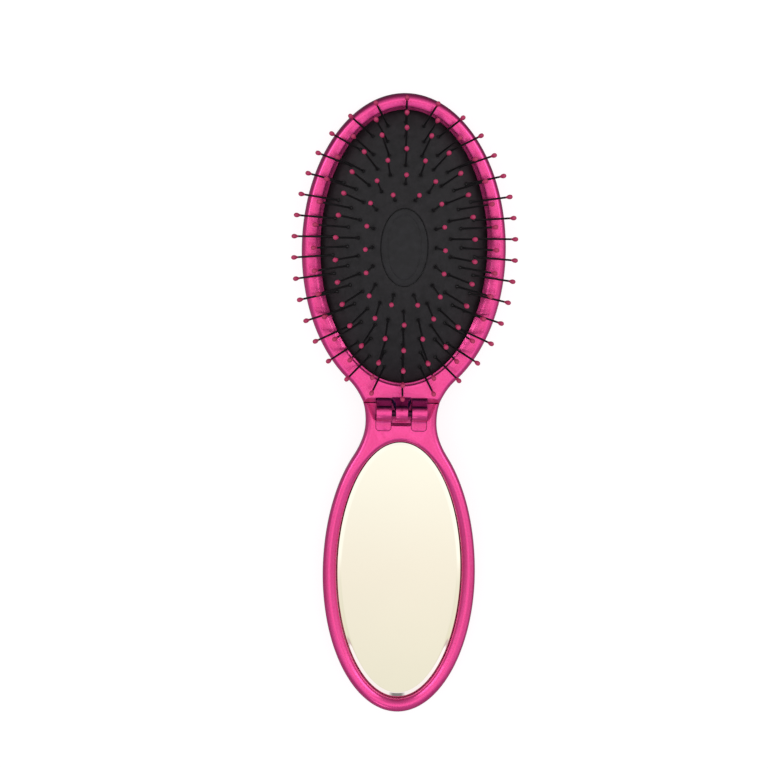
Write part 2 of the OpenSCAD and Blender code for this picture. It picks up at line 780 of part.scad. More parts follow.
head_back_shell();
head_front_ring();
pad_clamp_ring();
pad_cushion();
hinge_pin();
handle_back_shell();
handle_front_frame();
mirror_glass();
mirror_backing();
press_oval();
pop_button();
bristles_center();
tips_center();
bristles_mid(1);  // bristles_mid_1
bristles_mid(2);  // bristles_mid_2
bristles_mid(3);  // bristles_mid_3
bristles_mid(4);  // bristles_mid_4
bristles_mid(5);  // bristles_mid_5
bristles_mid(6);  // bristles_mid_6
bristles_mid(7);  // bristles_mid_7
bristles_mid(8);  // bristles_mid_8
tips_mid(1);  // tips_mid_1
tips_mid(2);  // tips_mid_2
tips_mid(3);  // tips_mid_3
tips_mid(4);  // tips_mid_4
tips_mid(5);  // tips_mid_5
tips_mid(6);  // tips_mid_6
tips_mid(7);  // tips_mid_7
tips_mid(8);  // tips_mid_8
bristles_outer(1);  // bristles_outer_1
bristles_outer(2);  // bristles_outer_2
bristles_outer(3);  // bristles_outer_3
bristles_outer(4);  // bristles_outer_4
bristles_outer(5);  // bristles_outer_5
bristles_outer(6);  // bristles_outer_6
bristles_outer(7);  // bristles_outer_7
bristles_outer(8);  // bristles_outer_8
bristles_outer(9);  // bristles_outer_9
bristles_outer(10);  // bristles_outer_10
bristles_outer(11);  // bristles_outer_11
bristles_outer(12);  // bristles_outer_12
tips_outer(1);  // tips_outer_1
tips_outer(2);  // tips_outer_2
tips_outer(3);  // tips_outer_3
tips_outer(4);  // tips_outer_4
tips_outer(5);  // tips_outer_5
tips_outer(6);  // tips_outer_6
tips_outer(7);  // tips_outer_7
tips_outer(8);  // tips_outer_8
tips_outer(9);  // tips_outer_9
tips_outer(10);  // tips_outer_10
tips_outer(11);  // tips_outer_11
tips_outer(12);  // tips_outer_12
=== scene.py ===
"""The looks of the folding hairbrush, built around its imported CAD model.

Lengths are in mm until they reach a mesh. Lamps, camera and shader nodes are in metres.
The head points to +Y and the handle to -Y, both with their face up. The handle's outlines
are drawn towards +Y as well, and flipped when they become a mesh.
"""

import math

import bmesh
import bpy
import numpy as np
from mathutils import Matrix, Vector

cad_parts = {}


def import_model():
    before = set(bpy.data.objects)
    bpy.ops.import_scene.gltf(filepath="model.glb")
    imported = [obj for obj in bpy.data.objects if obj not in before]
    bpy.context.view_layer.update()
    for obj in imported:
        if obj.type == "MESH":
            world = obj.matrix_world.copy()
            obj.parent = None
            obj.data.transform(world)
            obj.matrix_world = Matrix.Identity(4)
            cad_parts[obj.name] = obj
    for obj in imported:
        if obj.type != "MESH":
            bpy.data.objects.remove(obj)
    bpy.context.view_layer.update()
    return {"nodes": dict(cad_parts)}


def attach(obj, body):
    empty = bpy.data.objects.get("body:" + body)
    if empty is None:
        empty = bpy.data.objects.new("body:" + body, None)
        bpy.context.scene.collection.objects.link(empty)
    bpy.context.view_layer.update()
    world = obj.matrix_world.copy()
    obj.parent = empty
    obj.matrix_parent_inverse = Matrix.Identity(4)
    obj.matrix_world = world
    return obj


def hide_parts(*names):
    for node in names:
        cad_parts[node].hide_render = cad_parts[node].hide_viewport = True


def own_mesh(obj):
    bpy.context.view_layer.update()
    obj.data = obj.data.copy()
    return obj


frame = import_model()

MM = 0.001

# ---------------------------------------------------------------- sizes
# They follow the CAD model, apart from a few that are fitted closer to the photograph:
# the two outlines, the recess, the middle knuckle, the mirror's bevel, bristles and beads.
GAP = 0.1  # from the joint line to each half
NECK_X = 11.8
FACE_H = 12.0
SEAM_H = 7.0
HEAD_LEN, HEAD_W, HEAD_WIDE = 95.7, 63.0, 47.4
HEAD_FLARE_Y, NECK_SLOPE = 7, 0.45
HAND_LEN, HAND_W, HAND_WIDE = 95.9, 47.1, 52.9
HAND_NEAR, HAND_FLARE_Y = 7, 17
WAIST_W, WAIST_Y = 21.9, 6.0
RIM_H = 14.0
PAD_A, PAD_B, PAD_Y = 25.7, 42.2, 48.5
LIP_H = 8.9
MIR_A, MIR_B, MIR_Y = 19.5, 39.9, 51.9
GLASS_TOP, GLASS_EDGE, GLASS_LOW = 10.5, 10.2, 8.7
BEVEL_W, BEVEL_H, BEVEL_Y, GROUND_W = 1.25, 0.18, MIR_Y - 0.25, 0.5
POCKET = 0.9
FLOOR_T = 2.0
WALL = 1.8
CLAMP_T = 1.3
HEAD_HOLLOW_Y, HAND_HOLLOW_Y = 2.5, 10.5
HINGE_Y, HINGE_H = -2.6, 19.5
BARREL_R = 2.4
KNUCKLE_IN, KNUCKLE_OUT = 3.2, 7.8
TAB_LEN = 8.5
MID_W, MID_FOOT, MID_DEEP = 3.7, 5.8, PAD_Y - PAD_B - 3.2
FOOT_LOW = 1.5  # where the knuckles' feet start inside the shells
PIN_R = 1.0
PAD_EDGE_H, DOME_H, PAD_T = 9.5, 10.0, 1.6
PAD_CLEAR, PAD_FLANGE = 0.15, 1.45
OVAL_A, OVAL_B, OVAL_GAP = 7.2, 12.0, 0.15
BUTTON_R, BUTTON_CLEAR = 9.0, 0.25
DISH_R, DISH_DEEP = 70, 0.35
TRAVEL = 9.0
STEM_R = 3.6
BRISTLE_R, BRISTLE_LEN = 0.34, 14.3
TIP_R, TIP_LEN = 0.73, 2.2
FOOT_GAP = 0.15
FILLET = 1.4
EAR_A, EAR_B, EAR_Y, EAR_SUNK = 10.2, 8.1, 0.97, 1.0

# points along the outlines, and rows put between two given ones
END = [0, 0.15, 0.3, 0.45, 0.6, 0.72, 0.82, 0.9, 0.96, 1]
END_N = len(END) - 1
WAIST_N, FLARE_N = 12, 16
HEAD_ARC_N, HAND_ARC_N = 120, 112
HEAD_M = END_N + FLARE_N
HAND_M = END_N + WAIST_N + FLARE_N
SUB = 3
BARREL_N = 40


# ---------------------------------------------------------------- outlines
def smooth(x):
    t = np.clip(x, 0, 1)
    return t * t * (3 - 2 * t)


def curve(p, q, r, t):
    return [p[i] * (1 - t) ** 2 + q[i] * 2 * t * (1 - t) + r[i] * t * t for i in (0, 1)]


def meet(p0, m0, p2, m2):
    """Where a line through p0 and one through p2 cross. Slopes are X over Y."""
    y = (p2[0] - p0[0] - m2 * p2[1] + m0 * p0[1]) / (m0 - m2)
    return [p0[0] + m0 * (y - p0[1]), y]


def ellipse_slope(c, a, b, y):
    u = (c - y) / b
    return a * u / (b * math.sqrt(1 - u * u))


def arc_points(c, a, near, far, start, n):
    """From the start angle up to the middle of the far end, without the first point."""
    out = []
    for k in range(1, n + 1):
        t = math.radians(start + (90 - start) * k / n)
        out.append([a * math.cos(t), c + (near if t < 0 else far) * math.sin(t)])
    return out


def flare_point(half_w, wide, near, y):
    """A point of the ellipse's near side and the angle that it lies at."""
    x = half_w * math.sqrt(1 - ((wide - y) / near) ** 2)
    return [x, y], math.degrees(math.asin((y - wide) / near))


def head_half():
    half_w = HEAD_W / 2
    flare, start = flare_point(half_w, HEAD_WIDE, HEAD_WIDE, HEAD_FLARE_Y)
    p0 = [NECK_X, GAP]
    p1 = meet(p0, NECK_SLOPE, flare, ellipse_slope(HEAD_WIDE, half_w, HEAD_WIDE, HEAD_FLARE_Y))
    return (
        [[NECK_X * k, GAP] for k in END]
        + [curve(p0, p1, flare, k / FLARE_N) for k in range(1, FLARE_N + 1)]
        + arc_points(HEAD_WIDE, half_w, HEAD_WIDE, HEAD_LEN - HEAD_WIDE, start, HEAD_ARC_N)
    )


def hand_half():
    b, half_w = HAND_WIDE - HAND_NEAR, HAND_W / 2
    flare, start = flare_point(half_w, HAND_WIDE, b, HAND_FLARE_Y)
    p0 = [NECK_X, GAP]
    p1 = [WAIST_W / 2, WAIST_Y * 0.43]
    waist = [WAIST_W / 2, WAIST_Y]
    p3 = meet(waist, 0, flare, ellipse_slope(HAND_WIDE, half_w, b, HAND_FLARE_Y))
    return (
        [[NECK_X * k, GAP] for k in END]
        + [curve(p0, p1, waist, k / WAIST_N) for k in range(1, WAIST_N + 1)]
        + [curve(waist, p3, flare, k / FLARE_N) for k in range(1, FLARE_N + 1)]
        + arc_points(HAND_WIDE, half_w, b, HAND_LEN - HAND_WIDE, start, HAND_ARC_N)
    )


def whole(h):
    return np.array(h + [[-p[0], p[1]] for p in h[-2:0:-1]])


def inward(p):
    """At each corner, the way in that keeps both sides at the same distance."""
    a = p - np.roll(p, 1, 0)
    b = np.roll(p, -1, 0) - p
    a /= np.linalg.norm(a, axis=1)[:, None]
    b /= np.linalg.norm(b, axis=1)[:, None]
    na = np.stack([-a[:, 1], a[:, 0]], 1)
    nb = np.stack([-b[:, 1], b[:, 0]], 1)
    return (na + nb) / (1 + (na * nb).sum(1))[:, None]


def past_end(n):
    """Steps from the straight end's corner: below 0 on the end itself."""
    k = np.arange(n)
    return np.minimum(k, n - k) - END_N


def inner_loop(o, c, a, b, m):
    """An ellipse with as many points as the outline o, each facing its point. The first m are
    spread evenly, because the outline's own end is straight."""
    n = len(o)
    out = []

    def toward(p):
        return math.degrees(math.atan2((p[1] - c) / b, p[0] / a))

    for k in range(n):
        j = min(k, n - k)
        t = -90 + (toward(o[m]) + 90) * j / m if j < m else toward(o[j])
        t = math.radians(t)
        out.append([(-1 if k > j else 1) * a * math.cos(t), c + b * math.sin(t)])
    return np.array(out)


def set_in(o, nrm, w, d, z, v, e, y):
    """The outline drawn in by d, at height z, or v where the weight w is 1. The joint's
    straight end is drawn in by e and lies at height y."""
    q = past_end(len(o))
    p = o + nrm * d
    straight = q <= 0
    p[straight, 0] = o[straight, 0] * (1 - d / NECK_X)
    p[straight, 1] = 0
    # no nearer to the joint line than e plus a third of the outline's own distance, and 0.8 at most
    low = GAP + e + 0.1 * np.clip(o[:, 1] - GAP, 0, 2.4) / 0.3
    out = np.empty((len(o), 3))
    out[:, 0] = p[:, 0]
    out[:, 1] = np.maximum(p[:, 1], np.where(straight, GAP + e, np.minimum(low, GAP + e + 0.8)))
    out[:, 2] = np.where(q < 0, y, z * (1 - w) + v * w)
    return out


def level_rows(o, nrm, spec):
    """Rows drawn in by d at one height z all round, with e and y for the straight end."""
    w = np.zeros(len(o))
    return [set_in(o, nrm, w, d, z, z, e, y) for d, z, e, y in spec]


def set_out(i, nrm, w, d, z, v):
    """An opening's edge drawn out by d, at height z, or v where the weight w is 1."""
    p = i - nrm * d
    return np.column_stack([p, z * (1 - w) + v * w])


def oval_at(o, m, a, near, far, z):
    p = inner_loop(o, (near + far) / 2, a, (far - near) / 2, m)
    return np.column_stack([p, np.full(len(p), z)])


head_o = whole(head_half())
hand_o = whole(hand_half())
head_n = inward(head_o)
hand_n = inward(hand_o)
head_w = 1 - smooth((head_o[:, 1] - 3) / 34)  # 1 at the neck, 0 further on
hand_w = smooth((hand_o[:, 1] - 9) / 16)  # 0 at the neck, 1 further on
pad_i = inner_loop(head_o, PAD_Y, PAD_A, PAD_B, HEAD_M)
pad_n = inward(pad_i)
mir_i = inner_loop(hand_o, MIR_Y, MIR_A, MIR_B, HAND_M)
mir_n = inward(mir_i)


# ---------------------------------------------------------------- meshes
def spline(rows, sharp, straight=()):
    """SUB rows for each given one, on a smooth curve that breaks at the sharp rows and never
    runs past a row. A straight span gets none. The rows form a ring where sharp holds 'ring'."""
    rows = [np.array(r, float) for r in rows]
    n = len(rows)
    ring = "ring" in sharp
    spans = n if ring else n - 1
    step = [rows[(k + 1) % n] - rows[k] for k in range(spans)]
    length = [np.maximum(np.linalg.norm(d, axis=1), 1e-6)[:, None] for d in step]

    def slope(k, span):
        """The curve's direction at row k, in the units of one span."""
        before, after = (k - 1) % n, k % n
        if k % n in sharp or (not ring and k in (0, n - 1)):
            return step[span]
        a, b = step[before] / length[before], step[after] / length[after]
        m = (a * length[after] + b * length[before]) / (length[before] + length[after])
        most = 3 * np.minimum(np.abs(a), np.abs(b))
        m = np.where(a * b > 0, np.clip(m, -most, most), 0)
        return m * length[span]

    out = []
    for k in range(spans):
        p1, p2 = rows[k], rows[(k + 1) % n]
        steps = 1 if k in straight or (k in sharp and (k + 1) % n in sharp) else SUB
        m1, m2 = slope(k, k), slope(k + 1, k)
        for i in range(steps):
            t = i / steps
            h = [2 * t**3 - 3 * t**2 + 1, t**3 - 2 * t**2 + t, -2 * t**3 + 3 * t**2, t**3 - t**2]
            out.append(p1 * h[0] + m1 * h[1] + p2 * h[2] + m2 * h[3])
    if not ring:
        out.append(rows[-1])
    return out


def shade(obj, angle=35):
    mesh = obj.data
    mesh.polygons.foreach_set("use_smooth", [True] * len(mesh.polygons))
    mesh.set_sharp_from_angle(angle=math.radians(angle))
    mesh.update()


def add_object(name, mesh):
    obj = bpy.data.objects.new(name, mesh)
    bpy.context.scene.collection.objects.link(obj)
    return obj


def make(name, verts, faces, smooth_angle=35):
    mesh = bpy.data.meshes.new(name)
    mesh.from_pydata([tuple(np.array(v) * MM) for v in verts], [], faces)
    mesh.update()
    obj = add_object(name, mesh)
    shade(obj, smooth_angle)
    return obj


def bands(levels, n, ring):
    """Quads between levels of n points each."""
    faces = []
    for r in range(levels if ring else levels - 1):
        s = (r + 1) % levels
        for k in range(n):
            q = (k + 1) % n
            faces.append([r * n + k, r * n + q, s * n + q, s * n + k])
    return faces


def loft(name, rows, ring=False, low=None, high=None, angle=35, flip=False):
    """A skin over the rows. low and high close its ends with a fan around a point, or low
    with one flat face."""
    n = len(rows[0])
    m = len(rows)
    verts = [p for r in rows for p in r]
    faces = bands(m, n, ring)
    if low == "flat":
        faces.append(list(range(n))[::-1])
    elif low is not None:
        verts.append(low)
        faces += [[len(verts) - 1, (k + 1) % n, k] for k in range(n)]
    if high is not None:
        verts.append(high)
        last = (m - 1) * n
        faces += [[len(verts) - 1, last + k, last + (k + 1) % n] for k in range(n)]
    if flip:
        verts = [(p[0], -p[1], p[2]) for p in verts]
        faces = [f[::-1] for f in faces]
    return make(name, verts, faces, angle)


def applied(obj):
    """The modifiers' result, kept in the mesh."""
    bpy.context.view_layer.update()
    graph = bpy.context.evaluated_depsgraph_get()
    mesh = bpy.data.meshes.new_from_object(obj.evaluated_get(graph))
    obj.modifiers.clear()
    old = obj.data
    obj.data = mesh
    bpy.data.meshes.remove(old)
    return obj


def boolean(obj, other, operation="DIFFERENCE"):
    """Uses other up."""
    mod = obj.modifiers.new("cut", "BOOLEAN")
    mod.operation = operation
    mod.solver = "EXACT"
    mod.object = other
    applied(obj)
    mesh = other.data
    bpy.data.objects.remove(other)
    bpy.data.meshes.remove(mesh)
    return obj


def weld(obj, reach=0.003):
    """Joins points that lie closer together than a cut's slivers are wide."""
    bm = bmesh.new()
    bm.from_mesh(obj.data)
    bmesh.ops.remove_doubles(bm, verts=bm.verts, dist=reach * MM)
    bm.to_mesh(obj.data)
    bm.free()


def bevelled(obj, width=0.12, segments=2, angle=38):
    mod = obj.modifiers.new("bevel", "BEVEL")
    mod.width = width * MM
    mod.segments = segments
    mod.limit_method = "ANGLE"
    mod.angle_limit = math.radians(angle)
    mod.harden_normals = False
    mod.use_clamp_overlap = True
    return applied(obj)


def fix_normals(obj):
    bm = bmesh.new()
    bm.from_mesh(obj.data)
    bmesh.ops.recalc_face_normals(bm, faces=bm.faces)
    bm.to_mesh(obj.data)
    bm.free()


def prism(name, points, lo, hi, axis="z"):
    """A closed outline drawn along an axis. For 'x' it is in Y-Z, for 'y' in X-Z."""
    place = {
        "x": lambda p, level: (level, p[0], p[1]),
        "y": lambda p, level: (p[0], level, p[1]),
        "z": lambda p, level: (p[0], p[1], level),
    }[axis]
    n = len(points)
    verts = [place(p, level) for level in (lo, hi) for p in points]
    faces = [list(range(n))[::-1], list(range(n, 2 * n))]
    faces += [[k, (k + 1) % n, n + (k + 1) % n, n + k] for k in range(n)]
    obj = make(name, verts, faces)
    fix_normals(obj)
    return obj


def block(name, x, y0, y1, lo, hi):
    """A box that is as wide to both sides."""
    return prism(name, [(-x, y0), (x, y0), (x, y1), (-x, y1)], lo, hi)


def lathe(name, profile, centre=(0, 0, 0), axis="z", n=96):
    """A turned piece. The profile is (radius, height) from one end to the other."""
    verts = []
    for r, z in profile:
        for k in range(n):
            t = 2 * math.pi * k / n
            p = (r * math.cos(t), r * math.sin(t), z)
            if axis == "x":
                p = (p[2], p[0], p[1])
            verts.append((p[0] + centre[0], p[1] + centre[1], p[2] + centre[2]))
    bm = bmesh.new()
    vs = [bm.verts.new(Vector(v) * MM) for v in verts]
    for f in bands(len(profile), n, False):
        bm.faces.new([vs[i] for i in f])
    bmesh.ops.remove_doubles(bm, verts=bm.verts, dist=1e-7)
    bmesh.ops.recalc_face_normals(bm, faces=bm.faces)
    mesh = bpy.data.meshes.new(name)
    bm.to_mesh(mesh)
    bm.free()
    obj = add_object(name, mesh)
    shade(obj)
    return obj


# ---------------------------------------------------------------- shader nodes
def material(name):
    m = bpy.data.materials.new(name)
    m.use_nodes = True
    nodes, links = m.node_tree.nodes, m.node_tree.links
    return m, nodes, links, nodes["Principled BSDF"]


def srgb(r, g, b):
    def one(c):
        c /= 255
        return c / 12.92 if c <= 0.04045 else ((c + 0.055) / 1.055) ** 2.4

    return (one(r), one(g), one(b), 1)


def coords(nodes):
    return nodes.new("ShaderNodeTexCoord").outputs["Object"]


def noise(nodes, links, where, scale, detail=2.0, rough=0.5):
    t = nodes.new("ShaderNodeTexNoise")
    t.inputs["Scale"].default_value = scale
    t.inputs["Detail"].default_value = detail
    t.inputs["Roughness"].default_value = rough
    links.new(where, t.inputs["Vector"])
    return t.outputs["Fac"]


def ramp(nodes, links, fac, stops):
    r = nodes.new("ShaderNodeValToRGB")
    el = r.color_ramp.elements
    while len(el) > 1:
        el.remove(el[-1])
    el[0].position, el[0].color = stops[0]
    for pos, col in stops[1:]:
        e = el.new(pos)
        e.color = col
    links.new(fac, r.inputs["Fac"])
    return r.outputs["Color"]


def bump(nodes, links, height, strength, distance, base=None):
    b = nodes.new("ShaderNodeBump")
    b.inputs["Strength"].default_value = strength
    b.inputs["Distance"].default_value = distance
    links.new(height, b.inputs["Height"])
    if base is not None:
        links.new(base, b.inputs["Normal"])
    return b.outputs["Normal"]


def to_range(nodes, links, fac, lo, hi, start=0.0, end=1.0):
    """lo where fac is at the start, hi at the end, held outside."""
    r = nodes.new("ShaderNodeMapRange")
    r.inputs["From Min"].default_value = start
    r.inputs["From Max"].default_value = end
    r.inputs["To Min"].default_value = lo
    r.inputs["To Max"].default_value = hi
    links.new(fac, r.inputs["Value"])
    return r.outputs["Result"]


def separate(nodes, links, vector):
    s = nodes.new("ShaderNodeSeparateXYZ")
    links.new(vector, s.inputs[0])
    return s.outputs


def calculate(nodes, links, operation, p, q):
    """p and q are sockets, or q a number."""
    m = nodes.new("ShaderNodeMath")
    m.operation = operation
    links.new(p, m.inputs[0])
    if isinstance(q, float):
        m.inputs[1].default_value = q
    else:
        links.new(q, m.inputs[1])
    return m.outputs[0]


def mix_colour(nodes, links, kind, fac, p, q):
    """fac and q are sockets or values."""
    mix = nodes.new("ShaderNodeMix")
    mix.data_type = "RGBA"
    mix.blend_type = kind
    links.new(p, mix.inputs["A"])
    for value, socket in ((fac, mix.inputs["Factor"]), (q, mix.inputs["B"])):
        if isinstance(value, (int, tuple)):
            socket.default_value = value
        else:
            links.new(value, socket)
    return mix.outputs["Result"]


def mix_shader(nodes, links, fac, p, q):
    mix = nodes.new("ShaderNodeMixShader")
    for k, socket in enumerate((fac, p, q)):
        links.new(socket, mix.inputs[k])
    return mix.outputs[0]


# ---------------------------------------------------------------- materials
# painted shade: crevices, and the knuckles' faces to the head, get the pink multiplied by a darker
# colour below, and crevices lose metal down to METALLIC_DEEP
METALLIC, METALLIC_DEEP = 0.95, 0.15
CREVICE_REACH = 0.006
SUNK_Z = (0.0085, 0.0105)  # crevices count above it, fading in
KNUCKLE_Z = (0.012, 0.0124)  # above the neck's face there are only knuckles
FRONT_CREVICE, FRONT_PAINTED_SHADE = (0.25, 0.7), (0.62, 0.62, 0.66, 1)
BACK_CREVICE, BACK_PAINTED_SHADE = (0.4, 0.9), (0.05, 0.36, 0.38, 1)


def pink_metal(name, low, high, rough, crevice, tint, knuckles=False):
    """Vacuum-metallised plastic under a tinted lacquer: fine flake and faint moulding waves.
    Painted shade in crevices: darker colour and less metal where the AO node finds them. With
    knuckles, their faces to the head are darkened as well: a dark reflection painted in."""
    m, nodes, links, s = material(name)

    def part(fac, lo, hi, span):
        return to_range(nodes, links, fac, lo, hi, *span)

    where = coords(nodes)
    grain = noise(nodes, links, where, 2600, rough=0.6)
    lacquer = ramp(nodes, links, grain, [(0.3, low), (0.7, high)])
    shut = nodes.new("ShaderNodeAmbientOcclusion")
    shut.samples = 8
    shut.inputs["Distance"].default_value = CREVICE_REACH
    open_sky = shut.outputs["AO"]
    height = separate(nodes, links, where)["Z"]
    facing = separate(nodes, links, nodes.new("ShaderNodeTexCoord").outputs["Normal"])
    sunk = part(height, 0, 1, SUNK_Z)

    # painted shade in crevices: darker on steep faces above SUNK_Z where the AO node finds little
    # open sky
    walls = part(facing["Z"], 1, 0.15, (0.5, 0.95))
    painted_crevice_shade = calculate(nodes, links, "MULTIPLY", part(open_sky, 1, 0, crevice), walls)
    dark = calculate(nodes, links, "MULTIPLY", painted_crevice_shade, sunk)
    # painted shade on the knuckles' faces to the head: a dark reflection painted into the colour
    if knuckles:
        headward = part(facing["Y"], 0, 0.88, (0.5, 0.86))
        above = part(height, 0, 1, KNUCKLE_Z)
        painted_knuckle_shade = calculate(nodes, links, "MULTIPLY", headward, above)
        dark = calculate(nodes, links, "MAXIMUM", dark, painted_knuckle_shade)
    colour = mix_colour(nodes, links, "MULTIPLY", dark, lacquer, tint)
    links.new(colour, s.inputs["Base Color"])

    # less metal in the crevices' painted shade
    deep = calculate(nodes, links, "MULTIPLY", part(open_sky, 1, 0, (0.45, 0.85)), sunk)
    links.new(to_range(nodes, links, deep, METALLIC, METALLIC_DEEP), s.inputs["Metallic"])
    wave = noise(nodes, links, where, 60)
    links.new(to_range(nodes, links, wave, rough - 0.03, rough + 0.04), s.inputs["Roughness"])
    soft = bump(nodes, links, noise(nodes, links, where, 190, detail=1, rough=0.4), 0.08, 0.0004)
    links.new(bump(nodes, links, grain, 0.35, 0.00002, soft), s.inputs["Normal"])
    s.inputs["Specular Tint"].default_value = (0.6, 0.4, 0.55, 1)
    s.inputs["Coat Weight"].default_value = 0.25
    s.inputs["Coat Roughness"].default_value = 0.06
    s.inputs["Coat IOR"].default_value = 1.5
    return m


def rubber(name, low, high, rough):
    m, nodes, links, s = material(name)
    where = coords(nodes)
    mott = noise(nodes, links, where, 420, detail=3, rough=0.6)
    links.new(ramp(nodes, links, mott, [(0.35, low), (0.7, high)]), s.inputs["Base Color"])
    links.new(to_range(nodes, links, mott, rough - 0.06, rough + 0.06), s.inputs["Roughness"])
    fine = noise(nodes, links, where, 5200, rough=0.6)
    links.new(bump(nodes, links, fine, 0.25, 0.00003), s.inputs["Normal"])
    s.inputs["Sheen Weight"].default_value = 0.12
    s.inputs["Sheen Roughness"].default_value = 0.5
    s.inputs["Specular IOR Level"].default_value = 0.3
    return m


def plain_plastic(name, low, high, rough, scale=500):
    m, nodes, links, s = material(name)
    g = noise(nodes, links, coords(nodes), scale)
    links.new(ramp(nodes, links, g, [(0.3, low), (0.75, high)]), s.inputs["Base Color"])
    links.new(to_range(nodes, links, g, rough - 0.04, rough + 0.05), s.inputs["Roughness"])
    links.new(bump(nodes, links, g, 0.1, 0.00002), s.inputs["Normal"])
    return m


def steel():
    m, nodes, links, s = material("pin_steel")
    g = noise(nodes, links, coords(nodes), 1800)
    # painted shade: the pin is dark purple instead of bare steel, so that it reads as the shadow
    # inside the hinge
    stops = [(0.3, srgb(66, 26, 50)), (0.7, srgb(84, 36, 64))]
    links.new(ramp(nodes, links, g, stops), s.inputs["Base Color"])
    s.inputs["Metallic"].default_value = 1
    links.new(to_range(nodes, links, g, 0.2, 0.34), s.inputs["Roughness"])
    return m


def mirror_material():
    m, nodes, links, s = material("silvered_glass")
    g = noise(nodes, links, coords(nodes), 26)
    stops = [(0.3, (0.93, 0.915, 0.785, 1)), (0.7, (0.955, 0.94, 0.805, 1))]
    links.new(ramp(nodes, links, g, stops), s.inputs["Base Color"])
    s.inputs["Metallic"].default_value = 1
    s.inputs["Roughness"].default_value = 0.015
    return m


PINK = pink_metal(
    "pink_lacquer", srgb(246, 70, 148), srgb(255, 92, 168), 0.24, FRONT_CREVICE, FRONT_PAINTED_SHADE
)
PINK_BACK = pink_metal(
    "pink_lacquer_back", srgb(244, 68, 146), srgb(255, 90, 166), 0.25, BACK_CREVICE, BACK_PAINTED_SHADE,
    knuckles=True,
)
RUBBER = rubber("black_rubber_skin", srgb(30, 29, 31), srgb(43, 41, 44), 0.62)
OVAL_RUBBER = rubber("black_oval_rubber", srgb(26, 26, 28), srgb(37, 37, 40), 0.5)
NYLON = plain_plastic("black_nylon_pin", srgb(16, 15, 17), srgb(26, 24, 27), 0.32, 900)
BEAD = plain_plastic("pink_bead", srgb(180, 42, 90), srgb(197, 52, 104), 0.42, 700)
INNER = plain_plastic("black_inner_plastic", srgb(24, 24, 26), srgb(34, 34, 36), 0.45)
FOAM = plain_plastic("dark_foam", srgb(52, 52, 56), srgb(78, 78, 82), 0.9, 2400)
STEEL = steel()
MIRROR = mirror_material()


def finish_piece(obj, body, nodes, mat):
    obj.data.materials.clear()
    obj.data.materials.append(mat)
    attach(obj, body)
    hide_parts(*nodes)
    return obj


# ---------------------------------------------------------------- shells of head and handle
TRAY_SHARP = {0, 8, 9, 10, 11, 12}


def tray_rows(o, n, m, a, near, far, shelf):
    """A back shell: up its outside to the seam, then down into the hollow over a shelf."""
    outside = (
        (4, 0, 3, 0),
        (3.4, 0, 2.4, 0),
        (2.2, 0.3, 1.4, 0.15),
        (1.2, 1, 0.7, 0.5),
        (0.5, 2.1, 0.2, 1.1),
        (0.12, 3.6, 0, 2),
        (0, 5.2, 0.02 - GAP, 4),
        (0, SEAM_H - 0.3, 0.02 - GAP, SEAM_H - 0.3),
        (0.3, SEAM_H, 0.1, SEAM_H),
    )
    hollow = (
        (0, SEAM_H),
        (0, SEAM_H - CLAMP_T),
        (shelf, SEAM_H - CLAMP_T),
        (shelf, FLOOR_T + 1.2),
        (shelf + 1, FLOOR_T),
    )
    rows = level_rows(o, n, outside)
    return rows + [oval_at(o, m, a - d, near + d, far - d, z) for d, z in hollow]


def head_ring():
    w = head_w
    outer = (
        (0.3, SEAM_H, SEAM_H, 0.1, SEAM_H),
        (0, SEAM_H + 0.3, SEAM_H + 0.3, 0, SEAM_H + 0.3),
        (0, 10.9, 9.7, 0, 9.4),
        (0.1, RIM_H - 2, 10.6, 0, 10.4),
        (0.28, RIM_H - 1.2, 11.25, 0.5, 10.9),
        (0.75, RIM_H - 0.5, 11.75, 1, 11.45),
        (1.75, RIM_H, FACE_H, 1.55, FACE_H),
        (2.9, RIM_H - 0.12, FACE_H, 2.4, FACE_H),
        (3.9, RIM_H - 0.4, FACE_H, 3.4, FACE_H),
    )
    inner = (
        (1.05, RIM_H - 0.95, FACE_H),
        (0.5, RIM_H - 1.38, FACE_H - 0.6),
        (0.12, RIM_H - 1.65, FACE_H - 0.66),
        (0, LIP_H, LIP_H),
        (1.6, LIP_H, LIP_H),
        (1.6, SEAM_H, SEAM_H),
    )
    rows = [set_in(head_o, head_n, w, *r) for r in outer]
    rows += [set_out(pad_i, pad_n, w, *r) for r in inner]
    sharp = {0, 9, 10, 11, 12, 13, 14, "ring"}
    obj = loft("head_ring", spline(rows, sharp), ring=True)
    boolean(obj, block("knuckle_room", KNUCKLE_OUT + 0.15, -1, 1.65, 8.7, 20))
    bevelled(obj, 0.1)
    boolean(obj, block("post_room", MID_FOOT / 2 + 0.02, -1, MID_DEEP + 0.02, SEAM_H - 1, 20))
    shade(obj)
    return finish_piece(obj, "head", ["head_front_ring"], PINK)


def touch(p, s):
    """The angle at which a line from p touches the knuckle's barrel, on side s."""
    v = (p[0] - HINGE_Y, p[1] - HINGE_H)
    return math.atan2(v[1], v[0]) + s * math.acos(BARREL_R / math.hypot(*v))


def barrel_arc(t0, t1):
    """Points on the barrel from angle t0 clockwise to t1."""
    while t1 > t0:
        t1 -= 2 * math.pi
    angles = [t0 + (t1 - t0) * k / BARREL_N for k in range(BARREL_N + 1)]
    return [(HINGE_Y + BARREL_R * math.cos(t), HINGE_H + BARREL_R * math.sin(t)) for t in angles]


def pin_bore(obj, r):
    cut = lathe("bore", [(0, -20), (r, -20), (r, 20), (0, 20)], (0, HINGE_Y, HINGE_H), "x", 48)
    return boolean(obj, cut)


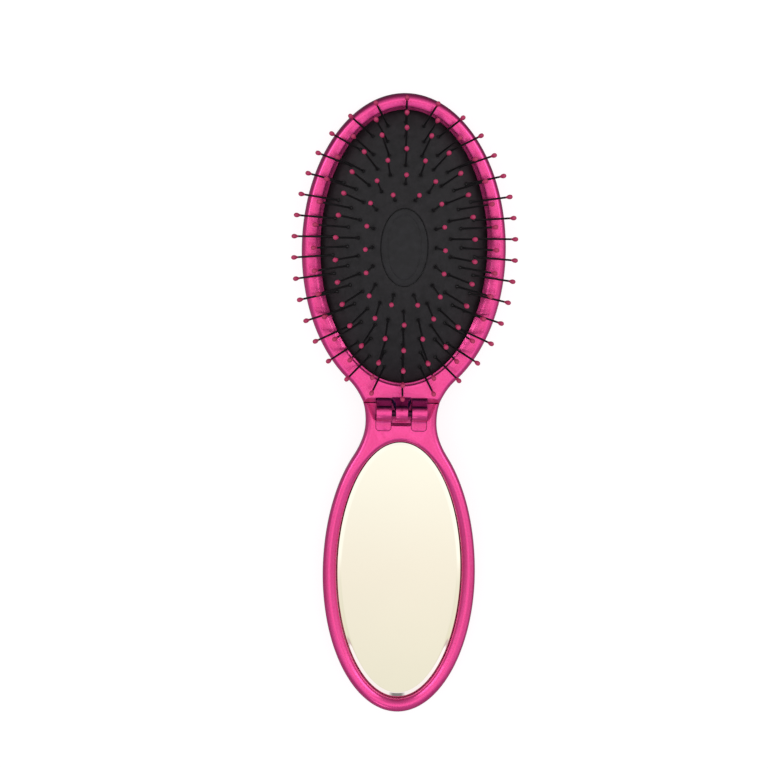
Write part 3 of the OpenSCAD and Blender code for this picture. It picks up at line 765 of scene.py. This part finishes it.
def post():
    """The head's middle knuckle on its flared foot."""
    back = (GAP, FACE_H + 0.2)
    front = (1.9, FACE_H)
    arc = barrel_arc(touch(back, -1), touch(front, 1))
    wide, slim = MID_FOOT / 2, (MID_FOOT - MID_W) / 2
    deep = MID_DEEP + 1
    side = [(GAP, FOOT_LOW), back] + arc + [front, (deep, FACE_H), (deep, FOOT_LOW)]
    obj = prism("post", side, -wide - 1, wide + 1, "x")
    half = [(wide + 1.5, -1), (wide + 1.5, FACE_H), (wide, FACE_H)]
    for k in range(1, 9):
        t = k / 8
        round_in = (1 - (1 - t) ** 2) ** 0.5
        half.append((wide - slim * round_in * (0.35 + 0.65 * t), FACE_H + 0.5 + 3.5 * t))
    half.append((MID_W / 2, 30))
    front_view = half + [(-x, z) for x, z in half[::-1]]
    boolean(obj, prism("mask", front_view, -20, 20, "y"), "INTERSECT")
    pin_bore(obj, PIN_R)
    bevelled(obj)
    return boolean(obj, block("foot", wide, -9, MID_DEEP, 0, 30), "INTERSECT")


def head_back():
    far = HEAD_LEN - WALL
    rows = tray_rows(head_o, head_n, HEAD_M, HEAD_W / 2 - WALL, HEAD_HOLLOW_Y, far, WALL)
    centre = (0, (HEAD_HOLLOW_Y + HEAD_LEN - WALL) / 2, FLOOR_T)
    obj = loft("head_back", spline(rows, TRAY_SHARP), low="flat", high=centre)
    r = BUTTON_R + BUTTON_CLEAR
    boolean(obj, lathe("hole", [(0, -1), (r, -1), (r, 4), (0, 4)], (0, PAD_Y, 0)))
    bevelled(obj)
    boolean(obj, post(), "UNION")
    weld(obj)
    shade(obj)
    return finish_piece(obj, "head", ["head_back_shell"], PINK_BACK)


head_ring()
head_back()


# ---------------------------------------------------------------- bristle feet
def dome(x, y):
    """The cushion's height over the point x, y from its middle."""
    q = np.minimum(1, np.sqrt((x / PAD_A) ** 2 + (y / PAD_B) ** 2))
    return PAD_EDGE_H + DOME_H * (1 - q**3)


# half width, half length, bristles, lean at the sides and at the ends in degrees
ROWS = [
    (PAD_A - 16.3 + 0.5, PAD_B - 16.3 - 0.6, 20, 8.6, 21),
    (PAD_A - 11.8 + 0.4, PAD_B - 11.8 - 0.3, 26, 27.1, 27.5),
    (PAD_A - 8 - 0.1, PAD_B - 8 + 0.1, 28, 41.7, 28.9),
    (PAD_A - 3.8, PAD_B - 3.8, 34, 50.5, 30),
]
MID_GROUPS, OUTER_GROUPS = 8, 12


def lean(degrees):
    return math.tan(math.radians(degrees))


def even_angles(a, b, n, steps=180):
    """The ellipse's angles at n evenly spaced points, from its far end."""
    deg = 90 + 360 * np.arange(steps + 1) / steps
    t = np.radians(deg)
    x, y = a * np.cos(t), b * np.sin(t)
    s = np.concatenate([[0], np.cumsum(np.hypot(np.diff(x), np.diff(y)))])
    return np.interp(s[-1] * np.arange(n) / n, s, deg)


def row_feet(a, b, n, side, end):
    """Each foot: x, y, lean in x, lean in y, angle."""
    out = []
    for t in even_angles(a, b, n):
        c, s = math.cos(math.radians(t)), math.sin(math.radians(t))
        out.append((a * c, b * s, lean(side) * c, lean(end) * s, t % 360))
    return out


def oval_feet():
    """The three bristles at either end of the press oval."""
    out = []
    for end in (1, -1):
        for x in (-1, 0, 1):
            if x == 0:
                out.append((0, end * (OVAL_B + 7.7), 0, end * lean(12.1), 0))
            else:
                out.append((x * 3.1, end * (OVAL_B + 2.6), x * lean(3.4), end * lean(8.1), 0))
    return out


def sector(t, g):
    return int(((t + 180 / g) % 360) * g / 360) + 1


FEET = [row_feet(*r) for r in ROWS]
FEET_OVAL = oval_feet()
ALL_FEET = np.array([f[:2] for row in FEET + [FEET_OVAL] for f in row])


# ---------------------------------------------------------------- cushion and press oval
def cushion():
    n = 300
    t = np.radians(-90 + 360 * np.arange(n) / n)
    c, s = np.cos(t), np.sin(t)

    def edge(g, z):
        return np.column_stack([(PAD_A + g) * c, PAD_Y + (PAD_B + g) * s, np.full(n, z)])

    def dimples(x, y, u):
        """A shallow dent with a raised edge around each bristle, and a step at the oval."""
        to_feet = np.column_stack([x, y])[:, None, :] - ALL_FEET[None]
        d = np.sqrt((to_feet**2).sum(2)).min(1)
        dent = 0.13 * np.exp(-((d / 0.75) ** 2))
        swell = 0.06 * np.exp(-(((d - 1.25) / 0.4) ** 2))
        return dent, swell, 0.25 * smooth((u - 0.985) / 0.015)

    def skin(u, dz):
        """From the edge at u = 0 to the press oval at u = 1."""
        a = (PAD_A - PAD_CLEAR) * (1 - u) + (OVAL_A + OVAL_GAP) * u
        b = (PAD_B - PAD_CLEAR) * (1 - u) + (OVAL_B + OVAL_GAP) * u
        x, y = a * c, b * s
        z = dome(x, y) + dz
        if dz == 0:
            dent, swell, step = dimples(x, y, u)
            z = z - dent + swell
            z = z - step
        return np.column_stack([x, PAD_Y + y, z])

    outer, inner = 64, 10
    rows = [edge(PAD_FLANGE, SEAM_H), edge(PAD_FLANGE, LIP_H), edge(-PAD_CLEAR, LIP_H)]
    rows += [skin(k / outer, 0) for k in range(outer + 1)]
    rows += [skin(k / inner, -PAD_T) for k in range(inner, 0, -1)]
    rows += [edge(-PAD_CLEAR - PAD_T, SEAM_H)]
    obj = loft("cushion", rows, ring=True)
    finish_piece(obj, "head", ["pad_cushion"], RUBBER)
    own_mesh(obj)
    return obj


def ellipse_rows(a, b, cy, spec, n=160):
    """A row for each (growth, height)."""
    t = np.radians(-90 + 360 * np.arange(n) / n)
    c, s = np.cos(t), np.sin(t)
    return [np.column_stack([(a + g) * c, cy + (b + g) * s, np.full(n, float(z))]) for g, z in spec]


OVAL_TOP = float(dome(OVAL_A, 0))
OVAL_LOW = OVAL_TOP - PAD_T


def press_oval():
    foot = [(0.4, OVAL_LOW - 0.4), (0.4, OVAL_LOW - 0.1), (0, OVAL_LOW - 0.1)]
    # its edge, the line around it, then its flat middle, as heights above OVAL_TOP
    face = (
        (0, -0.25), (-0.08, -0.08), (-0.3, 0.02), (-1.5, 0.1),
        (-1.72, 0.06), (-1.85, -0.03), (-2.0, -0.03), (-2.13, 0.06),
        (-2.35, 0.12), (-3.4, 0.16), (-5.2, 0.19), (-6.6, 0.2),
    )
    rows = ellipse_rows(OVAL_A, OVAL_B, PAD_Y, foot + [(g, OVAL_TOP + z) for g, z in face])
    low, high = (0, PAD_Y, OVAL_LOW - 0.4), (0, PAD_Y, OVAL_TOP + 0.2)
    obj = loft("press_oval_skin", rows, low=low, high=high, angle=60)
    return finish_piece(obj, "press", ["press_oval"], OVAL_RUBBER)


cushion()
press_oval()


# ---------------------------------------------------------------- button
def pop_button():
    """Dished face, rounded edge, flange stop and stem."""
    rest = FLOOR_T + TRAVEL + 0.05
    top = rest + 1.2
    r = BUTTON_R
    profile = []
    for k in range(11):
        x = (r - 2.2) * k / 10
        profile.append((x, DISH_DEEP - DISH_R + math.sqrt(DISH_R * DISH_R - x * x)))
    profile += [(r - 1.3, 0), (r - 0.75, 0.03), (r - 0.4, 0.16), (r - 0.15, 0.42), (r, 0.85)]
    profile += [(r, rest), (r + 0.9, rest), (r + 0.9, top), (r - 1.5, top), (r - 1.5, FLOOR_T)]
    profile += [(STEM_R, FLOOR_T), (STEM_R, OVAL_LOW), (0, OVAL_LOW)]
    obj = lathe("button", profile, (0, PAD_Y, 0), n=128)
    return finish_piece(obj, "press", ["pop_button"], PINK_BACK)


pop_button()

# ---------------------------------------------------------------- bristles
PIN_TOP = BRISTLE_LEN + FOOT_GAP
PIN_PROFILE = [
    (0, 0), (0.52, 0), (0.56, 0.1), (0.54, 0.3), (0.44, 0.46), (BRISTLE_R + 0.03, 0.62),
    (BRISTLE_R, 0.9), (BRISTLE_R * 0.97, PIN_TOP * 0.4), (BRISTLE_R * 0.92, PIN_TOP), (0, PIN_TOP),
]
# shares of the bead's radius and length
BEAD_SHAPE = (
    (0.45, 0.06), (0.6, 0.15), (0.78, 0.27), (0.93, 0.42), (1, 0.58),
    (0.96, 0.72), (0.84, 0.85), (0.62, 0.94), (0.32, 0.985),
)
BEAD_PROFILE = [(0, PIN_TOP), (BRISTLE_R + 0.02, PIN_TOP)]
BEAD_PROFILE += [(TIP_R * a, TIP_LEN * b + PIN_TOP) for a, b in BEAD_SHAPE]
BEAD_PROFILE += [(0, TIP_LEN + PIN_TOP)]


def bristle_mesh(name, feet, profile, sides):
    """A turned piece on each foot, along its lean."""
    verts, faces = [], []
    for x, y, lean_x, lean_y, _ in feet:
        turn = (
            Matrix.Translation((x, PAD_Y + y, float(dome(x, y))))
            @ Matrix.Rotation(math.atan2(lean_y, lean_x), 4, "Z")
            @ Matrix.Rotation(math.atan(math.hypot(lean_x, lean_y)), 4, "Y")
        )
        ring = []
        for r, z in profile:
            if r == 0:
                verts.append(turn @ Vector((0, 0, z)))
                ring.append([len(verts) - 1] * sides)
                continue
            row = []
            for k in range(sides):
                a = 2 * math.pi * k / sides
                verts.append(turn @ Vector((r * math.cos(a), r * math.sin(a), z)))
                row.append(len(verts) - 1)
            ring.append(row)
        for below, above in zip(ring, ring[1:]):
            for k in range(sides):
                q = (k + 1) % sides
                # a row in one point leaves a triangle
                faces.append(list(dict.fromkeys([below[k], below[q], above[q], above[k]])))
    return make(name, verts, faces, 50)


def groups():
    yield "center", "press", FEET_OVAL + FEET[0]
    for name, count, feet in (
        ("mid", MID_GROUPS, FEET[1]),
        ("outer", OUTER_GROUPS, FEET[2] + FEET[3]),
    ):
        for k in range(1, count + 1):
            yield f"{name}_{k}", f"tuft_{name}_{k}", [f for f in feet if sector(f[4], count) == k]


for label, body, feet in groups():
    pins = bristle_mesh(f"pins_{label}", feet, PIN_PROFILE, 14)
    finish_piece(pins, body, [f"bristles_{label}"], NYLON)
    beads = bristle_mesh(f"beads_{label}", feet, BEAD_PROFILE, 20)
    finish_piece(beads, body, [f"tips_{label}"], BEAD)


# ---------------------------------------------------------------- handle
def quarter(cx, cy, r, start, n):
    """A quarter of a circle, from the start angle on."""
    angles = [start + math.pi / 2 * k / n for k in range(n + 1)]
    return [(cx + r * math.cos(t), cy + r * math.sin(t)) for t in angles]


def tab_plan(g, side):
    """A knuckle's foot from above, grown by g: square at the joint, rounded at its end."""
    x0, x1 = KNUCKLE_IN - g, KNUCKLE_OUT + g
    r = 1 + g
    y = -TAB_LEN + 1
    pts = [(x1, 3), (x0, 3)]
    pts += quarter(x0 + r, y, r, math.pi, 8) + quarter(x1 - r, y, r, -math.pi / 2, 8)
    return [(side * p[0], p[1]) for p in pts]


def arm(side):
    """An outer knuckle on its foot."""
    front = (1.35, FACE_H)
    root = 9.6
    b = HINGE_Y - BARREL_R
    outline = [(-TAB_LEN - 1, FOOT_LOW), (-TAB_LEN - 1, FACE_H), (b - FILLET, FACE_H)]
    outline += quarter(b - FILLET, FACE_H + FILLET, FILLET, -math.pi / 2, 10)[1:]
    outline += barrel_arc(math.pi, touch(front, 1))
    outline += [front, (front[0], root), (-GAP, root), (-GAP, FOOT_LOW)]
    x0, x1 = side * KNUCKLE_IN, side * KNUCKLE_OUT
    obj = prism("arm", outline, min(x0, x1), max(x0, x1), "x")
    return boolean(obj, prism("mask", tab_plan(0, side), -1, 30), "INTERSECT")


def handle_back():
    far = HAND_LEN - WALL
    rows = tray_rows(hand_o, hand_n, HAND_M, HAND_W / 2 - WALL, HAND_HOLLOW_Y, far, 0.6)
    centre = (0, (HAND_HOLLOW_Y + HAND_LEN - WALL) / 2, FLOOR_T)
    obj = loft("handle_back", spline(rows, TRAY_SHARP), low="flat", high=centre, flip=True)
    for side in (1, -1):
        boolean(obj, arm(side), "UNION")
    pin_bore(obj, PIN_R + 0.05)
    bevelled(obj)
    shade(obj)
    return finish_piece(obj, "handle", ["handle_back_shell"], PINK_BACK)


def ear_ring(da, db, z, n=160):
    """One level of the recess: a squarish oval around the knuckles, wider to the head."""
    t = 2 * np.pi * np.arange(n) / n
    c, s = np.cos(t), np.sin(t)
    x = (EAR_A + da) * np.sign(c) * np.abs(c) ** (2 / 3)
    y = EAR_Y + (EAR_B + db) * np.sign(s) * np.abs(s) ** (2 / 3)
    x = x * (1 + 0.035 * np.clip(y + 3, 0, 5))
    return np.column_stack([x, y, np.full(n, float(z))])


def recess():
    low, high = FACE_H - EAR_SUNK, FACE_H + 2
    rows = [ear_ring(-1.3, -1, low), ear_ring(-1.1, -0.85, low + 0.12), ear_ring(2.5, 1.93, high)]
    return loft("ear", rows, low=(0, EAR_Y, low), high=(0, EAR_Y, high))


def handle_front():
    F = FACE_H
    outer = (
        (0.3, SEAM_H, 0.1, SEAM_H),
        (0, SEAM_H + 0.3, 0, SEAM_H + 0.3),
        (0, 9.8, 0, 9.8),
        (0.15, F - 1.4, 0, F - 1.2),
        (0.48, F - 0.68, 0.03, F - 0.4),
        (1.05, F - 0.27, 0.2, F - 0.02),
        (2.05, F, 1, F),
    )
    slope = ((1.45, F - 0.05, F - 0.2), (0.9, F - 0.15, F - 0.5), (0.35, F - 0.55, F - 0.95))
    pocket = ((0, GLASS_TOP), (0, GLASS_EDGE), (POCKET, GLASS_EDGE), (POCKET, SEAM_H))
    level = np.zeros(len(hand_o))
    rows = level_rows(hand_o, hand_n, outer)
    rows += [set_out(mir_i, mir_n, hand_w, *r) for r in slope]
    rows += [set_out(mir_i, mir_n, level, d, z, z) for d, z in pocket]
    sharp = {0, 10, 11, 12, 13, "ring"}
    obj = loft("handle_front", spline(rows, sharp, straight={6}), ring=True, flip=True)
    for side in (1, -1):
        boolean(obj, prism("tab", tab_plan(0.15, side), SEAM_H - 1, 20))
    boolean(obj, recess())
    bevelled(obj, 0.1)
    shade(obj)
    return finish_piece(obj, "handle", ["handle_front_frame"], PINK)


def mirror_glass():
    n = 240
    g = POCKET - 0.15
    step = GLASS_EDGE - 0.4
    flange = [(g, GLASS_LOW), (g, step - 0.08), (g - 0.08, step), (-0.03, step)]
    rows = ellipse_rows(MIR_A, MIR_B, MIR_Y, flange, n)
    # the bevel as (growth, depth): a ground edge, the slope, and its soft end in the face
    end = -GROUND_W - BEVEL_W
    soft = 0.17
    bevel = [(-GROUND_W, BEVEL_H), (-GROUND_W - 0.02, 0.176)]
    bevel += [(end + d, BEVEL_H * (d - soft) / (BEVEL_W - soft)) for d in (1.2, 0.8, 0.4)]
    bevel += [(end + 0.3, 0.024), (end + 0.2, 0.011), (end + 0.1, 0.003), (end, 0), (end - 0.2, 0)]
    rows += ellipse_rows(MIR_A, MIR_B, BEVEL_Y, [(d, GLASS_TOP - h) for d, h in bevel], n)
    low, high = (0, MIR_Y, GLASS_LOW), (0, MIR_Y, GLASS_TOP)
    obj = loft("mirror_plate", rows, low=low, high=high, angle=10, flip=True)
    return finish_piece(obj, "handle", ["mirror_glass"], MIRROR)


def hinge_pin():
    h = KNUCKLE_OUT - 0.1
    half = [(0, h), (0.6, h), (0.85, h - 0.06), (PIN_R, h - 0.25)]
    profile = [(r, -z) for r, z in half] + half[::-1]
    obj = lathe("pin", profile, (0, HINGE_Y, HINGE_H), "x", 40)
    return finish_piece(obj, "head", ["hinge_pin"], STEEL)


handle_back()
handle_front()
mirror_glass()
hinge_pin()

# the two hidden pieces keep their CAD shape and get a material
for node, mat in (("pad_clamp_ring", INNER), ("mirror_backing", FOAM)):
    mesh = frame["nodes"][node].data
    if not mesh.materials:
        mesh.materials.append(mat)
    for i in range(len(mesh.materials)):
        mesh.materials[i] = mat


# ---------------------------------------------------------------- stage, lights, camera
FLOOR_GLOW = 0.82  # added where the camera looks
FLOOR_HALF, FLOOR_Z = 6.0, -0.0003


def floor():
    """White to the camera and grey to matt surfaces. Reflections see it grey near the handle
    and darker towards the head's far end."""
    mesh = bpy.data.meshes.new("floor")
    s = FLOOR_HALF
    mesh.from_pydata([(-s, -s, 0), (s, -s, 0), (s, s, 0), (-s, s, 0)], [], [[0, 1, 2, 3]])
    obj = add_object("floor", mesh)
    obj.location.z = FLOOR_Z
    m, nodes, links, shader = material("floor_white")
    nodes.remove(shader)
    path = nodes.new("ShaderNodeLightPath").outputs

    diffuse = nodes.new("ShaderNodeBsdfDiffuse")
    diffuse.inputs["Color"].default_value = (0.3, 0.3, 0.3, 1)
    seen = calculate(nodes, links, "MAXIMUM", path["Is Camera Ray"], path["Is Transmission Ray"])
    glow = nodes.new("ShaderNodeEmission")
    links.new(calculate(nodes, links, "MULTIPLY", seen, FLOOR_GLOW), glow.inputs["Strength"])
    add = nodes.new("ShaderNodeAddShader")
    links.new(diffuse.outputs[0], add.inputs[0])
    links.new(glow.outputs[0], add.inputs[1])

    along = to_range(nodes, links, separate(nodes, links, coords(nodes))["Y"], 0, 1, 0.03, 0.1)
    greys = [(0.0, (0.36, 0.36, 0.37, 1)), (1.0, (0.11, 0.11, 0.12, 1))]
    dark = nodes.new("ShaderNodeEmission")
    links.new(ramp(nodes, links, along, greys), dark.inputs["Color"])

    both = mix_shader(nodes, links, path["Is Glossy Ray"], add.outputs[0], dark.outputs[0])
    links.new(both, nodes["Material Output"].inputs["Surface"])
    mesh.materials.append(m)


floor()

SKY = 1.25  # the sky's strength, by which the colours of its front edge are divided
MATT_LIGHT = 0.8
# position, red, green and blue where a direction's Y goes from -0.25 to 0.25
FRONT_EDGE = (
    (0.0, 1.05, 0.98, 1.1),
    (0.08, 1.05, 0.98, 1.1),
    (0.088, 0.66, 0.52, 0.55),
    (0.11, 0.66, 0.52, 0.55),
    (0.12, 0.84, 0.8, 0.7),
    (0.294, 0.884, 0.85, 0.78),
    (0.326, 0.98, 0.92, 0.88),
    (0.358, 1.08, 1.06, 1.05),
    (1.0, 1.1, 1.07, 1.1),
)
# position and grey, from -Y to +Y, from -X to +X, and up from the horizon
ALONG = (
    (0.0, 0.35), (0.1, 0.42), (0.22, 0.5), (0.3, 0.95), (0.37, 1.0), (0.6, 1.0),
    (0.69, 0.8), (0.82, 0.58), (0.92, 0.38), (1.0, 0.2),
)
ACROSS = (
    (0.0, 0.36), (0.08, 0.5), (0.2, 0.66), (0.3, 0.88), (0.325, 1.04), (0.345, 1.04),
    (0.36, 1.0), (0.645, 1.0), (0.66, 1.04), (0.685, 1.04), (0.72, 0.82), (0.8, 0.7),
    (0.9, 0.72), (1.0, 0.68),
)
UPWARD = ((0.0, 0.7), (0.25, 1.0))
# direction, the cosines at which the spot starts and is full, its value, how it is laid on
SPOTS = (
    ((-0.66, 0.38, 0.64), 0.86, 0.95, 0.75, "LIGHTEN"),
    ((0.66, 0.38, 0.64), 0.86, 0.95, 0.75, "LIGHTEN"),
    ((0.02, -0.41, 0.912), 0.996, 0.999, 0.25, "MULTIPLY"),
)


def world():
    """Reflections see a sky that is bright overhead and dims to all sides, with a dim band
    in front, two soft lamps up behind the head, left and right, and a small dark spot in
    front. The camera sees plain white, and matt surfaces are lit by plain white."""
    w = bpy.data.worlds.new("studio")
    bpy.context.scene.world = w
    w.use_nodes = True
    nodes, links = w.node_tree.nodes, w.node_tree.links
    where = nodes.new("ShaderNodeTexCoord").outputs["Generated"]
    aim = separate(nodes, links, where)

    def blend(p, q, kind="MULTIPLY"):
        return mix_colour(nodes, links, kind, 1, p, q)

    def greys(fac, stops):
        return ramp(nodes, links, fac, [(p, (v, v, v, 1)) for p, v in stops])

    def plain_white(strength):
        white = nodes.new("ShaderNodeBackground")
        white.inputs["Color"].default_value = (1, 1, 1, 1)
        white.inputs["Strength"].default_value = strength
        return white.outputs[0]

    near = ramp(
        nodes, links, to_range(nodes, links, aim["Y"], 0, 1, -0.25, 0.25),
        [(p, (r / SKY, g / SKY, b / SKY, 1)) for p, r, g, b in FRONT_EDGE],
    )
    along = greys(to_range(nodes, links, aim["Y"], 0, 1, -1, 1), ALONG)
    across = greys(to_range(nodes, links, aim["X"], 0, 1, -1, 1), ACROSS)
    sky = blend(blend(near, along), blend(across, greys(aim["Z"], UPWARD)))
    for direction, start, end, value, kind in SPOTS:
        dot = nodes.new("ShaderNodeVectorMath")
        dot.operation = "DOT_PRODUCT"
        dot.inputs[1].default_value = Vector(direction).normalized()
        links.new(where, dot.inputs[0])
        outside = 1.0 if kind == "MULTIPLY" else 0.0
        spot = to_range(nodes, links, dot.outputs["Value"], outside, value, start, end)
        sky = blend(sky, spot, kind)
    back = nodes["Background"]
    links.new(sky, back.inputs["Color"])
    back.inputs["Strength"].default_value = SKY

    path = nodes.new("ShaderNodeLightPath").outputs
    white, seen = plain_white(MATT_LIGHT), plain_white(1.0)
    plain = mix_shader(nodes, links, path["Is Camera Ray"], white, seen)
    both = mix_shader(nodes, links, path["Is Glossy Ray"], plain, back.outputs[0])
    links.new(both, nodes["World Output"].inputs["Surface"])


world()


def area(name, place, target, size, power):
    data = bpy.data.lights.new(name, "AREA")
    data.shape = "RECTANGLE"
    data.size, data.size_y = size
    data.energy = power
    obj = add_object(name, data)
    obj.location = place
    aim = Vector(target) - Vector(place)
    obj.rotation_euler = aim.to_track_quat("-Z", "Y").to_euler()


for name, side in (("left_lamp", -1), ("right_lamp", 1)):
    area(name, (side * 0.33, 0.2, 0.27), (side * 0.03, 0.07, 0.01), (0.26, 0.09), 0.14)
area("low_lamp", (-0.12, -0.42, 0.3), (0, -0.09, 0.01), (0.1, 0.1), 0.04)

# fitted to the photograph, in metres, radians and pixels, and the sensor in mm
CAMERA_AT = (-0.0519, 0.166, 2.5)
TILT_X, TILT_Y, TURN = -0.0645, -0.0177, 0.014
FOCAL_PX, PICTURE_PX, SENSOR = 8072, 768, 36


def camera():
    data = bpy.data.cameras.new("camera")
    obj = add_object("camera", data)
    data.sensor_width = SENSOR
    data.lens = FOCAL_PX * SENSOR / PICTURE_PX
    data.clip_start, data.clip_end = 0.1, 60
    obj.matrix_world = (
        Matrix.Translation(CAMERA_AT)
        @ Matrix.Rotation(TURN, 4, "Z")
        @ Matrix.Rotation(TILT_X, 4, "X")
        @ Matrix.Rotation(TILT_Y, 4, "Y")
    )
    bpy.context.scene.camera = obj


camera()
bpy.context.scene.view_settings.view_transform = "Standard"
